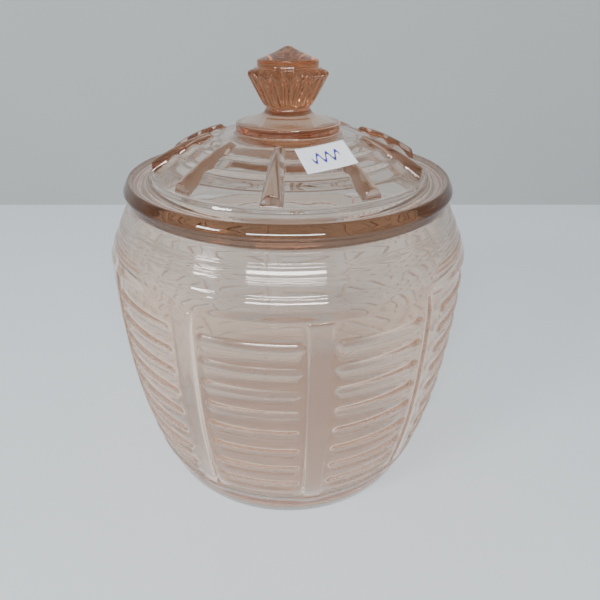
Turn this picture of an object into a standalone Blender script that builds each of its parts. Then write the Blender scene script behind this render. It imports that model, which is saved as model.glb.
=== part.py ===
"""Covered glass jar: a pressed panelled body, a loose domed lid with a fluted knob, and a paper price label.

Metres, +Z up.  The origin is the centre of the foot, on the surface that the jar stands on.
Angles are measured round the axis from the front (-Y) towards +X.
"""

import math

import bmesh
import bpy
from mathutils import Matrix, Vector

MM = 0.001

# ---------------------------------------------------------------- driving dimensions
FACETS = 40                    # sides of every turned form, a multiple of 4
INSIDE_LEVELS = 9              # stretches of the section up the inside of the jar
SHOULDER_LEVELS = 4
BAR_LEVELS = 7
UNDERSIDE_LEVELS = 6           # stretches of the section under the dome

# jar: the outer envelope, which the crests of the ribs touch
JAR_HEIGHT = 127.7 * MM        # table to the top of the mouth
SHOULDER_HEIGHT = 19.5 * MM    # the plain part above the belt
BELLY_RADIUS = 77.1 * MM
BELLY_BELOW_BELT = 26.2 * MM
FOOT_INSET = 10.4 * MM         # belly radius to foot radius
BELT_INSET = 1.2 * MM
NECK_INSET = 11.1 * MM
WALL_POWER = 2.4               # how late the wall turns in towards the foot
WAIST_POWER = 2.0
SHOULDER_POWER = 1.17
WALL = 5.4 * MM                # envelope to inside
FLOOR = 6.5 * MM
FLOOR_FILLET = 7.0 * MM
FOOT_RECESS = 1.5 * MM         # hollow under the base
FOOT_RING_WIDTH = 11.0 * MM
LIP_ROUND = 1.6 * MM

# jar pattern: flat upright bars, with level ribs between them
BARS = 10
BAR_START = math.radians(8.0)
BAR_WIDTH = 9.0 * MM
BAR_PROUD = 0.35 * MM          # bar face above the rib crests
RIBS = 8
RING_HEIGHT = 15.3 * MM        # the lowest roll, which runs on under the bars
RIB_TO_BELT = 10.2 * MM        # from the top rib to the belt
RIB_PITCH_STEP = 0.31 * MM     # each pitch is this much shorter than the one below
RIB_DEPTH = 1.1 * MM
RIB_BASE = 5.6 * MM
RIB_CREST = 1.8 * MM

# lid
SEAT_GAP = 0.3 * MM            # between lid and mouth
RIM_OVERHANG = 1.1 * MM        # past the neck of the jar
RIM_THICKNESS = 8.5 * MM
RIM_STEP = 1.1 * MM            # the lower band of the rim is set back by this
RIM_STEP_HEIGHT = 2.6 * MM
RIM_ROUND = 2.6 * MM
FLANGE_WIDTH = 10.6 * MM       # edge of the rim to the edge of the dome
CHANNEL_DEPTH = 1.3 * MM       # hollow ring between rim and dome
DOME_EDGE_RISE = 0.8 * MM      # edge of the dome above the rim
DOME_RISE = 14.1 * MM          # top of the dome above its edge
DOME_POWER = 1.7
LID_WALL = 4.6 * MM
LOCATOR_PLAY = 1.2 * MM        # radial play of the lid's ring inside the mouth
LOCATOR_WIDTH = 4.0 * MM
LOCATOR_DEPTH = 3.4 * MM       # how far the ring reaches down into the mouth

# lid pattern
LID_BARS = 10
LID_BAR_START = math.radians(-5.5)
LID_BAR_INNER_HALF = 2.3 * MM  # half width, and height, at the inner end
LID_BAR_OUTER_HALF = 4.0 * MM
LID_BAR_ROOT = 1.5 * MM        # how deep a bar is sunk in the dome
LID_BAR_END_INSET = 1.7 * MM   # outer ends of the bars to the edge of the dome
DISC_TO_BARS = 8.6 * MM        # edge of the knob's disc to the inner ends of the bars
LID_RIBS = 3
LID_RIB_HEIGHT = 0.9 * MM
LID_RIB_TO_BAR_END = 1.5 * MM  # inner ends of the bars to the first low ring
LID_RIB_TO_EDGE = 3.0 * MM     # kept free inside the edge of the dome, past one more pitch
LID_RIB_SHARE = 0.58           # width of a low ring as a share of the pitch

# knob, from the top of the dome upwards
DISC_RADIUS = 20.9 * MM
DISC_THICKNESS = 4.1 * MM
DISC_ROUND = 0.7 * MM
DISC_SLOPE_WIDTH = 6.9 * MM    # the disc's top rises over this width
DISC_SLOPE_HEIGHT = 1.0 * MM
STEM_RADIUS = 8.7 * MM
STEM_FILLET = 1.2 * MM
STEM_HEIGHT = 4.7 * MM
CUP_HEIGHT = 11.6 * MM
CUP_LEDGE = 0.7 * MM           # stem radius to the bottom of the cup
CUP_TOP_RADIUS = 16.0 * MM
FLUTES = 20
FLUTE_DEPTH = 1.3 * MM
COLLAR_INSET = 1.5 * MM        # bottom of the flutes to the collar
COLLAR_HEIGHT = 1.4 * MM
CAP_INSET = 1.4 * MM           # collar to cap
CAP_GROOVE = 0.4 * MM
CAP_HEIGHT = 2.3 * MM
TIP_RISE = 4.6 * MM
TIP_RADIUS = 1.6 * MM          # blunt end of the tip
TIP_ROUND = 0.5 * MM

# price label, stuck across one bar of the lid
LABEL_WIDTH = 18.0 * MM
LABEL_LENGTH = 13.4 * MM
LABEL_THICKNESS = 0.25 * MM
LABEL_BELOW_BAR_END = 8.5 * MM  # inner ends of the bars to the label's middle
LABEL_OVERHANG = 3.0 * MM      # past the crest of the bar that it is stuck on
LABEL_GAP = 0.3 * MM

# ---------------------------------------------------------------- derived
FOOT_RADIUS = BELLY_RADIUS - FOOT_INSET
BELT_RADIUS = BELLY_RADIUS - BELT_INSET
NECK_RADIUS = BELLY_RADIUS - NECK_INSET
BELT_HEIGHT = JAR_HEIGHT - SHOULDER_HEIGHT
BELLY_HEIGHT = BELT_HEIGHT - BELLY_BELOW_BELT
MOUTH_RADIUS = NECK_RADIUS - WALL

SEAT = JAR_HEIGHT + SEAT_GAP
RIM_TOP = SEAT + RIM_THICKNESS
DOME_TOP = RIM_TOP + DOME_EDGE_RISE + DOME_RISE
RIM_RADIUS = NECK_RADIUS + RIM_OVERHANG
DOME_EDGE_RADIUS = RIM_RADIUS - FLANGE_WIDTH
LOCATOR_RADIUS = MOUTH_RADIUS - LOCATOR_PLAY
LID_BAR_INNER_RADIUS = DISC_RADIUS + DISC_TO_BARS
LID_BAR_OUTER_RADIUS = DOME_EDGE_RADIUS - LID_BAR_END_INSET
LID_RIB_FIRST = LID_BAR_INNER_RADIUS + LID_RIB_TO_BAR_END
LID_RIB_PITCH = (DOME_EDGE_RADIUS - LID_RIB_TO_EDGE - LID_RIB_FIRST) / LID_RIBS
LABEL_RADIUS = LID_BAR_INNER_RADIUS + LABEL_BELOW_BAR_END

CUP_BOTTOM = DOME_TOP + DISC_THICKNESS + DISC_SLOPE_HEIGHT + STEM_HEIGHT
CUP_TOP = CUP_BOTTOM + CUP_HEIGHT
COLLAR_TOP = CUP_TOP + COLLAR_HEIGHT
CAP_BOTTOM = COLLAR_TOP + CAP_GROOVE
CAP_TOP = CAP_BOTTOM + CAP_HEIGHT
COLLAR_RADIUS = CUP_TOP_RADIUS - FLUTE_DEPTH - COLLAR_INSET
CAP_RADIUS = COLLAR_RADIUS - CAP_INSET


# ---------------------------------------------------------------- scene, collections, materials
def clear_scene():
    for obj in list(bpy.data.objects):
        bpy.data.objects.remove(obj, do_unlink=True)


def new_collection(name):
    collection = bpy.data.collections.new(name)
    bpy.context.scene.collection.children.link(collection)
    return collection


def principled(name, colour, roughness, transmission=0.0):
    material = bpy.data.materials.new(name)
    material.use_nodes = True
    shader = material.node_tree.nodes["Principled BSDF"]
    shader.inputs["Base Color"].default_value = (*colour, 1.0)
    shader.inputs["Roughness"].default_value = roughness
    shader.inputs["Metallic"].default_value = 0.0
    shader.inputs["Transmission Weight"].default_value = transmission
    return material


def add_object(name, mesh, collection):
    obj = bpy.data.objects.new(name, mesh)
    collection.objects.link(obj)
    return obj


# ---------------------------------------------------------------- modelling tools
def direction(angle):
    """Unit vector from the axis, at an angle from the front."""
    return Vector((math.sin(angle), -math.cos(angle), 0.0))


def turned(name, profile, collection):
    """Turn a profile of (radius, height) about Z; both ends of the profile lie on the axis."""
    mesh = bpy.data.meshes.new(name)
    points = [(radius, 0.0, height) for radius, height in profile]
    mesh.from_pydata(points, [(i, i + 1) for i in range(len(points) - 1)], [])
    obj = add_object(name, mesh, collection)
    screw = obj.modifiers.new("turn", "SCREW")
    screw.axis = "Z"
    screw.steps = screw.render_steps = FACETS
    screw.use_merge_vertices = True
    screw.merge_threshold = 0.01 * MM
    screw.use_smooth_shade = True
    return obj


def ring_of_copies(name, mesh, count, start, collection):
    """Copies of a mesh, evenly spaced about Z, joined as one hidden tool for a Boolean."""
    work = bmesh.new()
    for index in range(count):
        before = len(work.verts)
        work.from_mesh(mesh)
        work.verts.ensure_lookup_table()
        turn = Matrix.Rotation(start + index * math.tau / count, 4, "Z")
        bmesh.ops.transform(work, matrix=turn, verts=work.verts[before:])
    joined = bpy.data.meshes.new(name)
    work.to_mesh(joined)
    work.free()
    bpy.data.meshes.remove(mesh)
    return hidden_tool(name, joined, collection)


def hidden_tool(name, mesh, collection):
    tool = add_object(name, mesh, collection)
    tool.hide_render = True
    tool.display_type = "WIRE"
    return tool


def unite(obj, tool):
    boolean = obj.modifiers.new(tool.name, "BOOLEAN")
    boolean.operation = "UNION"
    boolean.solver = "EXACT"
    boolean.object = tool


def plate_from_outline(outline, half_width):
    """Upright plate: the outline is (radius, height), and the plate's width runs across the front (-Y)."""
    curve = bpy.data.curves.new("outline", "CURVE")
    curve.dimensions = "2D"
    curve.fill_mode = "BOTH"
    curve.extrude = half_width
    spline = curve.splines.new("POLY")
    spline.points.add(len(outline) - 1)
    for point, (radius, height) in zip(spline.points, outline):
        point.co = (radius, height, 0.0, 1.0)
    spline.use_cyclic_u = True
    guide = bpy.data.objects.new("outline", curve)
    bpy.context.scene.collection.objects.link(guide)
    guide.matrix_world = Matrix(((0, 0, -1, 0), (-1, 0, 0, 0), (0, 1, 0, 0), (0, 0, 0, 1)))
    bpy.context.view_layer.update()
    evaluated = guide.evaluated_get(bpy.context.evaluated_depsgraph_get())
    mesh = bpy.data.meshes.new_from_object(evaluated)
    mesh.transform(guide.matrix_world)
    bpy.data.objects.remove(guide)
    work = bmesh.new()
    work.from_mesh(mesh)
    bmesh.ops.remove_doubles(work, verts=work.verts, dist=0.001 * MM)
    bmesh.ops.recalc_face_normals(work, faces=work.faces)
    work.to_mesh(mesh)
    work.free()
    return mesh


# ---------------------------------------------------------------- jar
def envelope(height):
    """Outer radius of the jar, ignoring the valleys of its pattern."""
    if height <= BELLY_HEIGHT:
        fall = ((BELLY_HEIGHT - height) / BELLY_HEIGHT) ** WALL_POWER
        return BELLY_RADIUS - (BELLY_RADIUS - FOOT_RADIUS) * fall
    if height <= BELT_HEIGHT:
        fall = ((height - BELLY_HEIGHT) / (BELT_HEIGHT - BELLY_HEIGHT)) ** WAIST_POWER
        return BELLY_RADIUS - (BELLY_RADIUS - BELT_RADIUS) * fall
    fall = ((height - BELT_HEIGHT) / (JAR_HEIGHT - BELT_HEIGHT)) ** SHOULDER_POWER
    return BELT_RADIUS - (BELT_RADIUS - NECK_RADIUS) * fall


def rib_heights():
    """The ring at the bottom, then the ribs, whose pitch closes up towards the belt."""
    mean_pitch = (BELT_HEIGHT - RIB_TO_BELT - RING_HEIGHT) / RIBS
    pitch = mean_pitch + RIB_PITCH_STEP * (RIBS - 1) / 2
    heights = [RING_HEIGHT]
    for _ in range(RIBS):
        heights.append(heights[-1] + pitch)
        pitch -= RIB_PITCH_STEP
    return heights


def rib_outline(height):
    """Four points over one rib, from its upper root to its lower root."""
    points = []
    for offset, crest in ((RIB_BASE, 0), (RIB_CREST, 1), (-RIB_CREST, 1), (-RIB_BASE, 0)):
        level = height + offset / 2
        points.append((envelope(level) - RIB_DEPTH * (1 - crest), level))
    return points


def jar_profile():
    profile = [(0.0, FLOOR)]
    for angle in (0, math.pi / 6, math.pi / 3):
        level = FLOOR + FLOOR_FILLET * (1 - math.cos(angle))
        profile.append((envelope(level) - WALL - FLOOR_FILLET * (1 - math.sin(angle)), level))
    first = FLOOR + FLOOR_FILLET
    last = JAR_HEIGHT - LIP_ROUND
    for step in range(INSIDE_LEVELS + 1):
        level = first + (last - first) * step / INSIDE_LEVELS
        profile.append((envelope(level) - WALL, level))
    profile.append((MOUTH_RADIUS + LIP_ROUND, JAR_HEIGHT))
    profile.append((NECK_RADIUS - LIP_ROUND, JAR_HEIGHT))
    for step in range(SHOULDER_LEVELS + 1):
        level = last + (BELT_HEIGHT - last) * step / SHOULDER_LEVELS
        profile.append((envelope(level), level))
    valley = BELT_HEIGHT - RIB_DEPTH
    profile.append((envelope(valley) - RIB_DEPTH, valley))
    for height in reversed(rib_heights()):
        profile.extend(rib_outline(height))
    profile.append((envelope(RIB_DEPTH) - RIB_DEPTH / 2, RIB_DEPTH))
    profile.append((FOOT_RADIUS - RIB_DEPTH, 0.0))
    profile.append((FOOT_RADIUS - FOOT_RING_WIDTH, 0.0))
    profile.append((FOOT_RADIUS - FOOT_RING_WIDTH - FOOT_RECESS, FOOT_RECESS))
    profile.append((0.0, FOOT_RECESS))
    return profile


def jar_bar_outline():
    """Side view of one upright bar, from the ring to the belt, rooted in the wall."""
    bottom = RING_HEIGHT - RIB_CREST / 2
    top = BELT_HEIGHT - RIB_DEPTH / 4
    levels = [bottom + (top - bottom) * step / BAR_LEVELS for step in range(BAR_LEVELS + 1)]
    face = [(envelope(level) + BAR_PROUD, level) for level in levels]
    root = [(envelope(level) - RIB_DEPTH - WALL / 4, level) for level in levels]
    return face + root[::-1]


def make_jar(collection, tools, material):
    jar = turned("jar", jar_profile(), collection)
    jar.data.materials.append(material)
    bar = plate_from_outline(jar_bar_outline(), BAR_WIDTH / 2)
    unite(jar, ring_of_copies("jar_bars", bar, BARS, BAR_START, tools))
    return jar


# ---------------------------------------------------------------- lid
def dome(radius):
    """Height of the plain dome at a radius; it is flat under the knob's disc."""
    spread = max(0.0, radius - DISC_RADIUS) / (DOME_EDGE_RADIUS - DISC_RADIUS)
    return DOME_TOP - DOME_RISE * spread ** DOME_POWER


def bar_half(radius):
    """Half width, and height, of a lid bar at a radius."""
    share = (radius - LID_BAR_INNER_RADIUS) / (LID_BAR_OUTER_RADIUS - LID_BAR_INNER_RADIUS)
    return LID_BAR_INNER_HALF + (LID_BAR_OUTER_HALF - LID_BAR_INNER_HALF) * share


def knob_profile():
    """From the tip down to the edge of the disc, without the fluted cup."""
    disc_top = DOME_TOP + DISC_THICKNESS
    cup_inside = CUP_TOP - FLUTE_DEPTH
    return [
        (0.0, CAP_TOP + TIP_RISE),
        (TIP_RADIUS, CAP_TOP + TIP_RISE - TIP_ROUND),
        (CAP_RADIUS, CAP_TOP),
        (CAP_RADIUS, CAP_BOTTOM),
        (COLLAR_RADIUS, COLLAR_TOP),
        (COLLAR_RADIUS, cup_inside),
        (STEM_RADIUS, cup_inside),
        (STEM_RADIUS, disc_top + DISC_SLOPE_HEIGHT + 2 * STEM_FILLET),
        (STEM_RADIUS + STEM_FILLET, disc_top + DISC_SLOPE_HEIGHT + STEM_FILLET),
        (DISC_RADIUS - DISC_SLOPE_WIDTH, disc_top + DISC_SLOPE_HEIGHT),
        (DISC_RADIUS - DISC_ROUND, disc_top),
        (DISC_RADIUS, disc_top - DISC_ROUND),
        (DISC_RADIUS, DOME_TOP),
    ]


def dome_profile():
    """Top of the dome from the disc to its edge, with its low rings."""
    profile = []
    for index in range(LID_RIBS):
        ring = LID_RIB_FIRST + index * LID_RIB_PITCH
        for offset, lift in ((-0.5, 0), (0, 1), (0.5, 0)):
            radius = ring + offset * LID_RIB_SHARE * LID_RIB_PITCH
            profile.append((radius, dome(radius) + lift * LID_RIB_HEIGHT))
    profile.append((DOME_EDGE_RADIUS, dome(DOME_EDGE_RADIUS)))
    return profile


def rim_profile():
    """From the foot of the dome over the channel and the rolled rim to the seat."""
    roll_middle = RIM_RADIUS - RIM_ROUND
    profile = [
        (DOME_EDGE_RADIUS + CHANNEL_DEPTH, RIM_TOP - CHANNEL_DEPTH / 2),
        ((DOME_EDGE_RADIUS + roll_middle) / 2, RIM_TOP - CHANNEL_DEPTH),
    ]
    for angle in (0, math.pi / 6, math.pi / 3, math.pi / 2):
        level = RIM_TOP - RIM_ROUND * (1 - math.cos(angle))
        profile.append((roll_middle + RIM_ROUND * math.sin(angle), level))
    band_top = SEAT + RIM_STEP_HEIGHT
    band_radius = RIM_RADIUS - RIM_STEP
    profile += [(RIM_RADIUS, band_top + RIM_STEP), (band_radius, band_top)]
    profile += [(band_radius, SEAT + RIM_STEP), (band_radius - RIM_STEP, SEAT)]
    return profile


def lid_underside():
    """From the seat round the locating ring and up under the dome."""
    inside = LOCATOR_RADIUS - LOCATOR_WIDTH
    profile = [
        (LOCATOR_RADIUS, SEAT),
        (LOCATOR_RADIUS - LOCATOR_WIDTH / 8, SEAT - LOCATOR_DEPTH),
        (inside + LOCATOR_WIDTH / 8, SEAT - LOCATOR_DEPTH),
    ]
    for step in range(UNDERSIDE_LEVELS + 1):
        radius = inside + (DISC_RADIUS - inside) * step / UNDERSIDE_LEVELS
        profile.append((radius, dome(radius) - LID_WALL))
    profile.append((0.0, dome(0.0) - LID_WALL))
    return profile


def lid_bar_mesh():
    """Half-round bar that widens outwards along the dome and ends in an upright face."""
    length = LID_BAR_OUTER_RADIUS - LID_BAR_INNER_RADIUS
    work = bmesh.new()
    bmesh.ops.create_cone(
        work, cap_ends=True, segments=12,
        radius1=LID_BAR_INNER_HALF, radius2=LID_BAR_OUTER_HALF, depth=length,
    )
    lengthwise = [e for e in work.edges if abs(e.verts[0].co.z - e.verts[1].co.z) > length / 2]
    bmesh.ops.subdivide_edges(work, edges=lengthwise, cuts=3)
    for vert in work.verts:
        across, up, along = vert.co
        radius = LID_BAR_INNER_RADIUS + length / 2 + along
        vert.co = (across, -radius, dome(radius) + max(up, -LID_BAR_ROOT))
    bmesh.ops.recalc_face_normals(work, faces=work.faces)
    mesh = bpy.data.meshes.new("lid_bar")
    work.to_mesh(mesh)
    work.free()
    return mesh


def fluted_cup(tools):
    """Cup of the knob: a flaring form whose every second line of points is drawn in."""
    work = bmesh.new()
    bmesh.ops.create_cone(
        work, cap_ends=True, segments=2 * FLUTES,
        radius1=STEM_RADIUS + CUP_LEDGE, radius2=CUP_TOP_RADIUS, depth=CUP_HEIGHT,
    )
    middle = (CUP_TOP + CUP_BOTTOM) / 2
    for vert in work.verts:
        line = round(math.atan2(vert.co.y, vert.co.x) / (math.pi / FLUTES))
        if line % 2:
            drawn_in = 1 - FLUTE_DEPTH / CUP_TOP_RADIUS
            vert.co.x *= drawn_in
            vert.co.y *= drawn_in
        vert.co.z += middle
    mesh = bpy.data.meshes.new("knob_cup")
    work.to_mesh(mesh)
    work.free()
    return hidden_tool("knob_cup", mesh, tools)


def make_lid(collection, tools, material):
    profile = knob_profile() + dome_profile() + rim_profile() + lid_underside()
    lid = turned("lid", profile, collection)
    lid.data.materials.append(material)
    unite(lid, ring_of_copies("lid_bars", lid_bar_mesh(), LID_BARS, LID_BAR_START, tools))
    unite(lid, fluted_cup(tools))
    return lid


# ---------------------------------------------------------------- label
def label_frame():
    """Axes and middle of the label, which lies on a bar's crest and leans down onto the low rings."""
    bar_angle = LID_BAR_START + math.tau / LID_BARS
    crest_height = dome(LABEL_RADIUS) + bar_half(LABEL_RADIUS) + LABEL_GAP
    crest = direction(bar_angle) * LABEL_RADIUS + Vector((0, 0, crest_height))
    reach = LABEL_WIDTH - LABEL_OVERHANG
    low_angle = bar_angle - reach / LABEL_RADIUS
    low_height = dome(LABEL_RADIUS) + LID_RIB_HEIGHT + LABEL_GAP
    low = direction(low_angle) * LABEL_RADIUS + Vector((0, 0, low_height))
    across = (crest - low).normalized()
    outward = direction((bar_angle + low_angle) / 2)
    fall = (dome(LABEL_RADIUS + MM) - dome(LABEL_RADIUS - MM)) / (2 * MM)
    slope = (outward + Vector((0, 0, fall))).normalized()
    normal = slope.cross(across).normalized()
    if normal.z < 0:
        normal = -normal
    up_slope = normal.cross(across)
    middle = crest + across * (LABEL_OVERHANG - LABEL_WIDTH / 2) + normal * LABEL_THICKNESS / 2
    return Matrix.Translation(middle) @ Matrix((across, up_slope, normal)).transposed().to_4x4()


def make_label(collection, material):
    work = bmesh.new()
    bmesh.ops.create_cube(work, size=1.0)
    size = Matrix.Diagonal((LABEL_WIDTH, LABEL_LENGTH, LABEL_THICKNESS, 1.0))
    bmesh.ops.transform(work, matrix=size, verts=work.verts)
    mesh = bpy.data.meshes.new("price_label")
    work.to_mesh(mesh)
    work.free()
    label = add_object("price_label", mesh, collection)
    label.matrix_world = label_frame()
    label.data.materials.append(material)
    return label


def main():
    clear_scene()
    parts = new_collection("covered_glass_jar")
    tools = new_collection("boolean_tools")
    pale = principled("pale_pink_glass", (0.93, 0.80, 0.74), 0.03, 0.9)
    deep = principled("peach_glass", (0.85, 0.55, 0.42), 0.03, 0.9)
    paper = principled("label_paper", (0.88, 0.90, 0.93), 0.7)
    make_jar(parts, tools, pale)
    make_lid(parts, tools, deep)
    make_label(parts, paper)


main()
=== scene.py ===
import math

import bmesh
import bpy
import numpy as np
from mathutils import Matrix, Vector


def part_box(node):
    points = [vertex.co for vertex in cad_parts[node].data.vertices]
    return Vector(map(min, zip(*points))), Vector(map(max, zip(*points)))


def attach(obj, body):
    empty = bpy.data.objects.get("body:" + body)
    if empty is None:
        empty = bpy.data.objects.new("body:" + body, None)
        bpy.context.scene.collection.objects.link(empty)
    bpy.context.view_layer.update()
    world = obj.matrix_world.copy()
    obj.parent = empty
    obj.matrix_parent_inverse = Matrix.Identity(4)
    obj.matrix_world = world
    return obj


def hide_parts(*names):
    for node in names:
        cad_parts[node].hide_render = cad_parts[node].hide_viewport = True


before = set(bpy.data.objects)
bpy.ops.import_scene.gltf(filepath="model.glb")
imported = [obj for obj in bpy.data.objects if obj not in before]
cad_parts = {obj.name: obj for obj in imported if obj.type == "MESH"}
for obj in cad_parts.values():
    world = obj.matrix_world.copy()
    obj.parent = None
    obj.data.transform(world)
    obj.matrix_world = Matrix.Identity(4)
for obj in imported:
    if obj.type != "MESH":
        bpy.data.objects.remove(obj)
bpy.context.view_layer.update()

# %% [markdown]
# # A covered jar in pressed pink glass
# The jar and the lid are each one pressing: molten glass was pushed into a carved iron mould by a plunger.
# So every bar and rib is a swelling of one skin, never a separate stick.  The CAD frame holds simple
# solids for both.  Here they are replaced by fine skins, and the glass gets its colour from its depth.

MM = 0.001
jar_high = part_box("jar")[1]
lid_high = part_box("lid")[1]
print("jar", round(jar_high.x * 2 / MM, 1), "mm wide;", "lid", round(lid_high.x * 2 / MM, 1), "mm wide")

# %% [markdown]
# ## Camera
# The camera stands close and looks down, so the jar narrows strongly towards its foot.  A wide lens at a
# short distance gives that taper; a long lens further back would draw the sides nearly parallel.

# %% Camera
CAMERA_DISTANCE = 192.1 * MM
CAMERA_HEIGHT = 186.2 * MM
CAMERA_PITCH = math.radians(30.8)
LENS = 27.1
SIDE_SHIFT = 0.02

camera_data = bpy.data.cameras.new("camera")
camera_data.lens = LENS
camera_data.sensor_width = 36.0
camera_data.shift_x = SIDE_SHIFT
camera_data.clip_start = 0.01
camera = bpy.data.objects.new("camera", camera_data)
camera.location = (0.0, -CAMERA_DISTANCE, CAMERA_HEIGHT)
camera.rotation_euler = (math.pi / 2 - CAMERA_PITCH, 0.0, 0.0)
bpy.context.scene.collection.objects.link(camera)
bpy.context.scene.camera = camera
print("camera", tuple(round(value, 3) for value in camera.location))

# %% [markdown]
# ## The envelope of the jar
# A lathe form is one curve turned about an axis.  The jar's curve has three stretches: a wall that swells
# from foot to belly, a short stretch up to the belt, and a shoulder that closes to the mouth.  A formula
# for each keeps them smooth, which glass needs, because every kink shows as a bent reflection.

# %% Sizes of the jar
JAR_HEIGHT = jar_high.z
BELLY_RADIUS = jar_high.x
BELT_HEIGHT = JAR_HEIGHT - 19.5 * MM
BELLY_HEIGHT = BELT_HEIGHT - 26.2 * MM
FOOT_RADIUS = BELLY_RADIUS - 10.4 * MM
BELT_RADIUS = BELLY_RADIUS - 1.2 * MM
NECK_RADIUS = BELLY_RADIUS - 11.1 * MM
WALL = 5.4 * MM
FLOOR = 6.5 * MM
RELIEF = 1.1 * MM
RIB_HEIGHT = 0.95 * MM
BARS = 10
SECTOR = math.tau / BARS
BAR_START = math.radians(8.0)
BAR_HALF = 4.5 * MM
BAR_HEIGHT = 0.8 * MM
RING_HEIGHT = 15.3 * MM
RIBS = 8
RIB_TOP = BELT_HEIGHT - 10.2 * MM
RIB_PITCH_LOSS = 0.31 * MM
WALL_POWER = 2.4
WAIST_POWER = 2.0
SHOULDER_POWER = 1.17


def envelope(height):
    """Outer radius at each height, measured over the crests."""
    height = np.asarray(height, float)
    wall = np.clip((BELLY_HEIGHT - height) / BELLY_HEIGHT, 0, 1) ** WALL_POWER
    waist = np.clip((height - BELLY_HEIGHT) / (BELT_HEIGHT - BELLY_HEIGHT), 0, 1) ** WAIST_POWER
    shoulder = np.clip((height - BELT_HEIGHT) / (JAR_HEIGHT - BELT_HEIGHT), 0, 1) ** SHOULDER_POWER
    return (
        BELLY_RADIUS
        - (BELLY_RADIUS - FOOT_RADIUS) * wall
        - (BELLY_RADIUS - BELT_RADIUS) * waist
        - (BELT_RADIUS - NECK_RADIUS) * shoulder
    )


def rib_heights():
    """Heights of the level ribs: their pitch closes up a little towards the belt."""
    pitch = (RIB_TOP - RING_HEIGHT) / RIBS + RIB_PITCH_LOSS * (RIBS - 1) / 2
    heights = [RING_HEIGHT]
    for _ in range(RIBS):
        heights.append(heights[-1] + pitch)
        pitch -= RIB_PITCH_LOSS
    return heights[1:]


print("ribs at", [round(height / MM, 1) for height in rib_heights()], "mm")

# %% [markdown]
# ## Relief as a height map
# The pattern could be cut and joined with Booleans, but those leave hard seams where a bar meets the wall,
# and pressed glass has none.  A height map over the turned form gives one closed skin with soft roots.
# Its columns follow the edges of the bars, so few points are spent on plain wall.

# %% Small shaping functions
def ease(value):
    """0 below 0, 1 above 1, and a smooth S between."""
    value = np.clip(value, 0.0, 1.0)
    return value * value * (3 - 2 * value)


def roll(distance, half_width):
    """A rounded bump: 1 on its crest, and flat again at half_width."""
    return np.clip(1 - (distance / half_width) ** 2, 0, 1) ** 2


def sector_columns(bar_shares, field_shares):
    """Column places in one sector: -1 to 1 across the bar, then 1 to 2 out to the sector's edge."""
    right = list(bar_shares) + [1 + share for share in field_shares]
    left = [-place for place in reversed(right) if place < 2]
    return np.array(left + [0.0] + right)


def column_angles(places, half_angle):
    """Angle from the sector's middle for each place, for every ring's own bar half angle."""
    places, half_angle = places[None, :], half_angle[:, None]
    beyond = half_angle + (SECTOR / 2 - half_angle) * (np.abs(places) - 1)
    return np.where(np.abs(places) <= 1, half_angle * places, np.sign(places) * beyond)


print("ease", ease(0.5), "roll", round(float(roll(1.0, 2.0)), 3))

# %% A skin from rings of points
def skin(name, radii, heights, angles, crests):
    """Closed mesh from rings of points; the first and last ring are single points on the axis.

    crests is 0 in the valleys and 1 on the crests of the pattern, kept as an attribute for the glass: it
    raises the haze, and on the jar it keeps the crests white as a painted highlight.
    """
    columns = radii.shape[1]
    x, y = radii * np.sin(angles), -radii * np.cos(angles)
    rings = np.stack([x, y, heights], -1)
    points = np.concatenate([rings[0, :1], rings[1:-1].reshape(-1, 3), rings[-1, :1]])
    last = len(points) - 1
    here = np.arange(columns)
    after = np.roll(here, -1)
    faces = [(0, 1 + b, 1 + a) for a, b in zip(here, after)]
    for ring in range(radii.shape[0] - 3):
        upper, lower = 1 + ring * columns, 1 + (ring + 1) * columns
        quads = np.stack([upper + here, upper + after, lower + after, lower + here], -1)
        faces.extend(map(tuple, quads.tolist()))
    bottom = last - columns
    faces.extend((last, bottom + a, bottom + b) for a, b in zip(here, after))
    mesh = bpy.data.meshes.new(name)
    mesh.from_pydata(points.tolist(), [], faces)
    mesh.update()
    haze_and_highlight_mask = np.concatenate([crests[0, :1], crests[1:-1].ravel(), crests[-1, :1]])
    mesh.attributes.new("crest", "FLOAT", "POINT").data.foreach_set("value", haze_and_highlight_mask.astype(np.float32))
    piece = bpy.data.objects.new(name, mesh)
    bpy.context.scene.collection.objects.link(piece)
    return piece


def face_outwards(piece):
    """Turn the skin right side out if its volume comes out negative, and shade it smooth."""
    work = bmesh.new()
    work.from_mesh(piece.data)
    volume = work.calc_volume(signed=True)
    if volume < 0:
        bmesh.ops.reverse_faces(work, faces=work.faces)
    open_edges = sum(not edge.is_manifold for edge in work.edges)
    work.to_mesh(piece.data)
    work.free()
    piece.data.shade_smooth()
    millilitres = round(abs(volume) * 1e6, 1)
    print(piece.name, len(piece.data.polygons), "faces,", millilitres, "ml,", open_edges, "open edges")


# %% [markdown]
# ## The jar's pattern
# Flat bars run from the bottom ring to the belt and widen just under it.  Between them lie level ribs with
# round ends that stop short of the bars.  Each rib is a capsule: the distance to a short line gives both
# its round back and its round ends at once.

# %% Relief of the jar
RIB_HALF = 2.3 * MM
RIB_END_GAP = 1.1 * MM
BAR_EDGE = 1.5 * MM
BAR_FLARE = 1.0 * MM
FLARE_LENGTH = 7 * MM
RING_DIP = 1.4 * MM
DIP_WIDTH = 6 * MM
BELT_STEP = 0.8 * MM
BELT_EDGE = 0.7 * MM


def bar_half(height):
    """Half width of an upright bar, flaring under the belt."""
    return BAR_HALF + BAR_FLARE * ease((height - BELT_HEIGHT + FLARE_LENGTH) / FLARE_LENGTH)


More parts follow.
